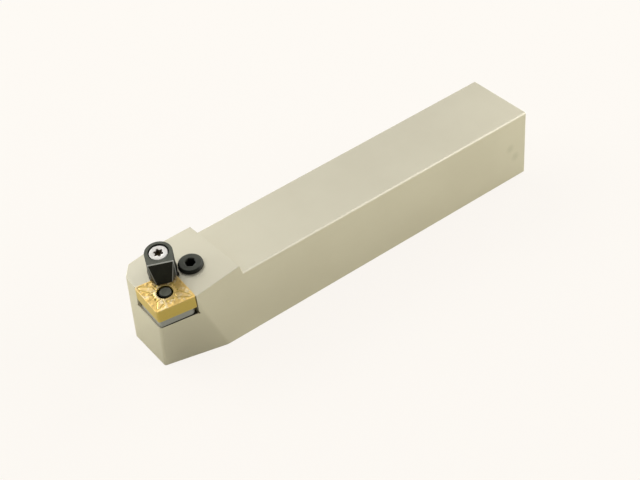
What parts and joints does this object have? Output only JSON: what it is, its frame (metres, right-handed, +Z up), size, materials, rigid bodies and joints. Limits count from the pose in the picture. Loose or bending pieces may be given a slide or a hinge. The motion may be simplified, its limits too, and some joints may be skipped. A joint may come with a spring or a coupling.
{
  "type": "turning tool holder",
  "caption": "Square-shank lathe tool holder whose raised head holds a gold diamond insert on a grey shim, with a lever screw and a finger clamp beside it.",
  "frame": {"origin": "middle of the shank's rear lower edge, on the base", "axes": "+X along the shank to the cutting point, +Y across it to the near side with the main cutting edge, +Z up from the base"},
  "size_m": [0.1499, 0.0251, 0.0351],
  "materials": {
    "steel": "matte nickel-plated steel, fine ground",
    "insert_coat": "gold nitride coat on carbide, satin",
    "shim_grey": "ground grey carbide",
    "black_steel": "black oxide, satin",
    "screw_silver": "bright plated steel",
    "spring_steel": "drawn spring steel"
  },
  "bodies": {
    "holder": {"holder_body": "steel", "insert": "insert_coat", "shim": "shim_grey", "shim_sleeve": "spring_steel", "clamp_spring": "spring_steel"},
    "lever_screw": {"lever_screw": "black_steel"},
    "lever": {"lever": "black_steel"},
    "clamp": {"clamp": "black_steel"},
    "clamp_screw": {"clamp_screw": "screw_silver"}
  },
  "joints": [
    {"name": "lever_screw_turn", "type": "hinge", "parent": "holder", "child": "lever_screw", "pos_m": [0.13099, 0.00141, 0.02805], "axis": [0.1273, 0.0735, 0.9891], "range_deg": [0, 145]},
    {"name": "lever_tilt", "type": "hinge", "parent": "holder", "child": "lever", "pos_m": [0.14179, 0.00387, 0.01434], "axis": [-0.2665, 0.9631, -0.0373], "range_deg": [0, 2.4]},
    {"name": "clamp_lift", "type": "slide", "parent": "holder", "child": "clamp", "axis": [0.1273, 0.0735, 0.9891], "range_m": [0, 0.0021], "deforming": ["clamp_spring"]},
    {"name": "clamp_screw_turn", "type": "hinge", "parent": "clamp", "child": "clamp_screw", "pos_m": [0.13807, -0.00375, 0.02752], "axis": [0.1273, 0.0735, 0.9891], "range_deg": [0, 1080]}
  ],
  "couplings": [
    {"joint": "lever_tilt", "follows": "lever_screw_turn", "ratio": 0.016493},
    {"joint": "clamp_screw_turn", "follows": "clamp_lift", "rad_per_m": 8976}
  ]
}
